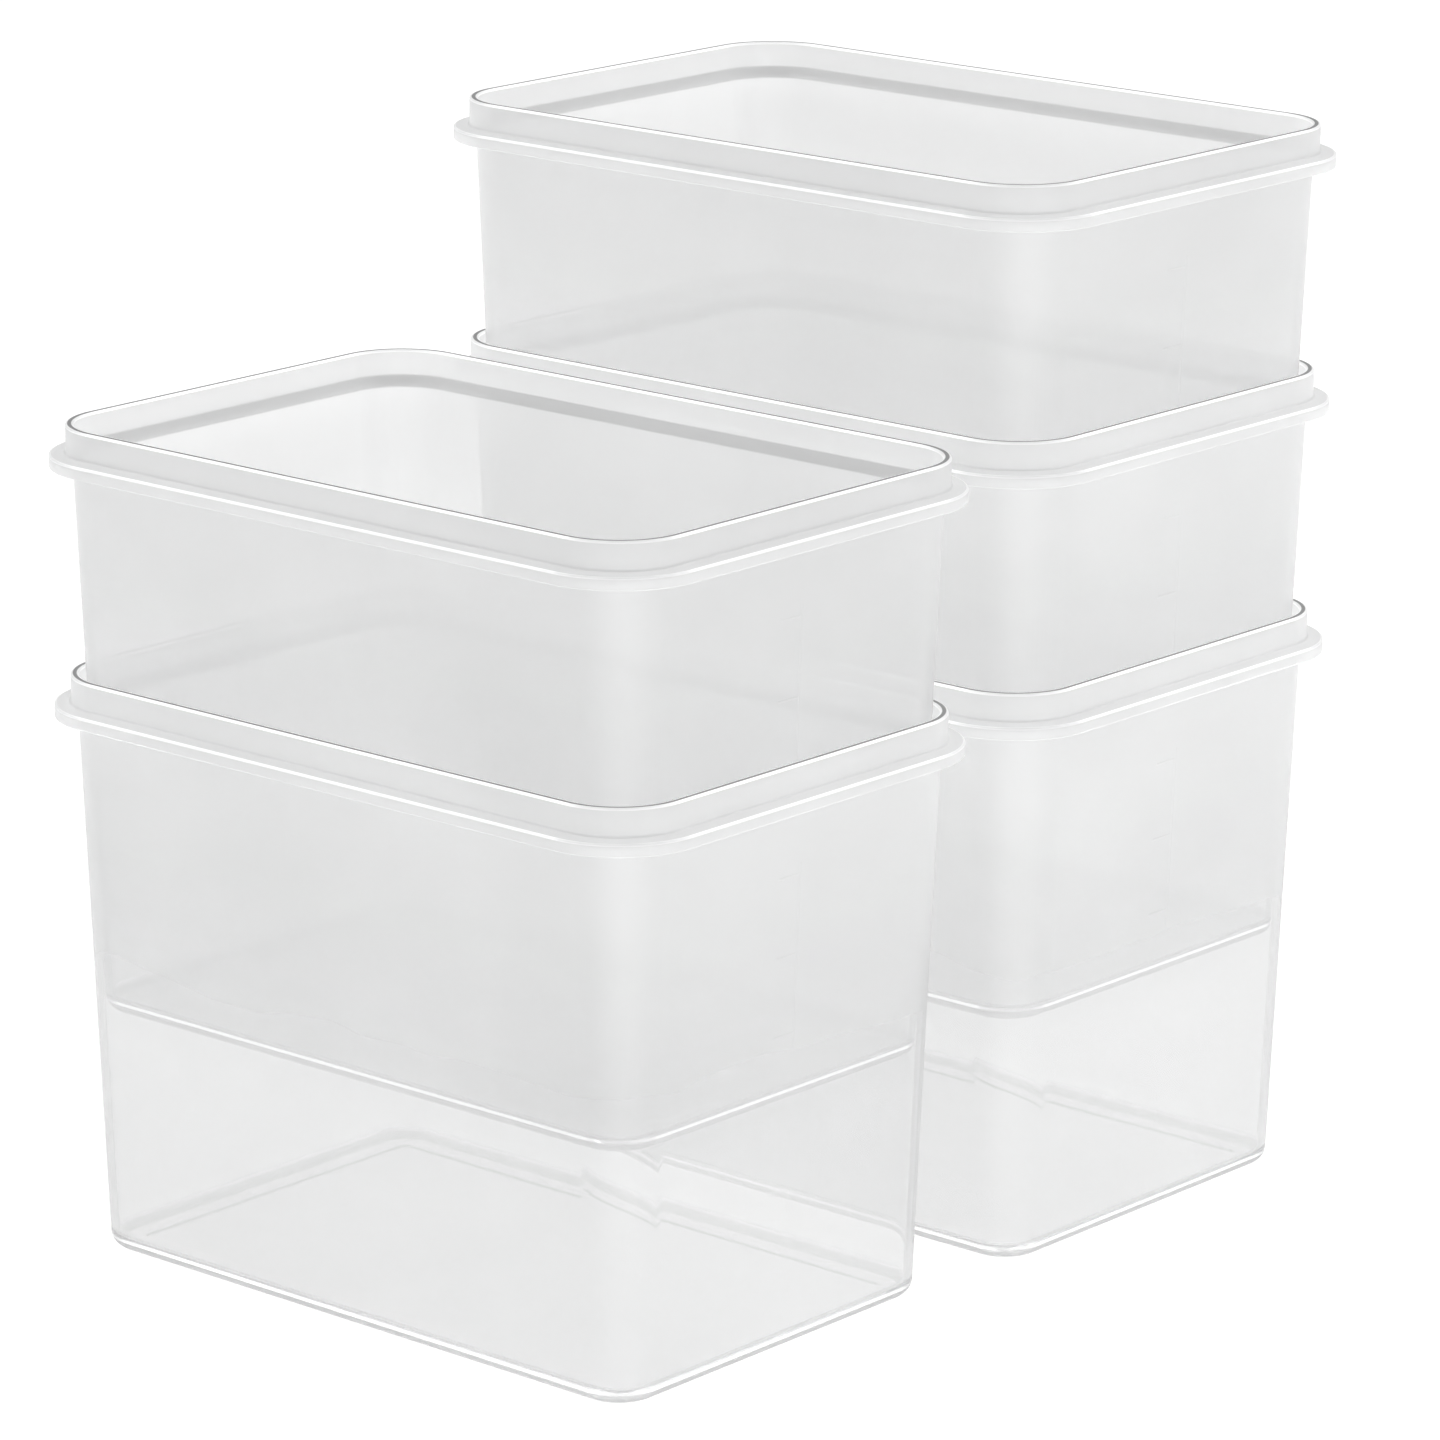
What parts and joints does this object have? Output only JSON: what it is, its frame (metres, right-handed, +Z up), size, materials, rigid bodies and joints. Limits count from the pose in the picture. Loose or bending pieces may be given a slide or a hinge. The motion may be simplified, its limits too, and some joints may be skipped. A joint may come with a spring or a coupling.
{
  "type": "fridge bin set",
  "caption": "Milky-clear rectangular storage bins for a fridge shelf, each with an upright rim collar, a flange under it and tapered walls, nested in stacks that stand side by side.",
  "frame": {"origin": "on the shelf surface, under the middle of the whole set's box", "axes": "+X along the bins' long sides, towards the short side that carries the measuring marks; +Y from the front stack to the rear stack; +Z up"},
  "size_m": [0.2218, 0.2968, 0.295],
  "materials": {
    "milky_polypropylene": "natural polypropylene, milky translucent with a satin moulded surface"
  },
  "bodies": {
    "front_lower": {"bin_front_lower": "milky_polypropylene"},
    "front_upper": {"bin_front_upper": "milky_polypropylene"},
    "rear_lower": {"bin_rear_lower": "milky_polypropylene"},
    "rear_middle": {"bin_rear_middle": "milky_polypropylene"},
    "rear_upper": {"bin_rear_upper": "milky_polypropylene"}
  },
  "joints": [
    {"name": "front_upper_lift", "type": "slide", "parent": "front_lower", "child": "front_upper", "axis": [0, 0, 1], "range_m": [0, 0.11]},
    {"name": "rear_stack_move", "type": "slide", "parent": "front_lower", "child": "rear_lower", "axis": [0, 1, 0], "range_m": [0, 0.12]},
    {"name": "rear_middle_lift", "type": "slide", "parent": "rear_lower", "child": "rear_middle", "axis": [0, 0, 1], "range_m": [0, 0.11]},
    {"name": "rear_upper_lift", "type": "slide", "parent": "rear_middle", "child": "rear_upper", "axis": [0, 0, 1], "range_m": [0, 0.11]}
  ]
}
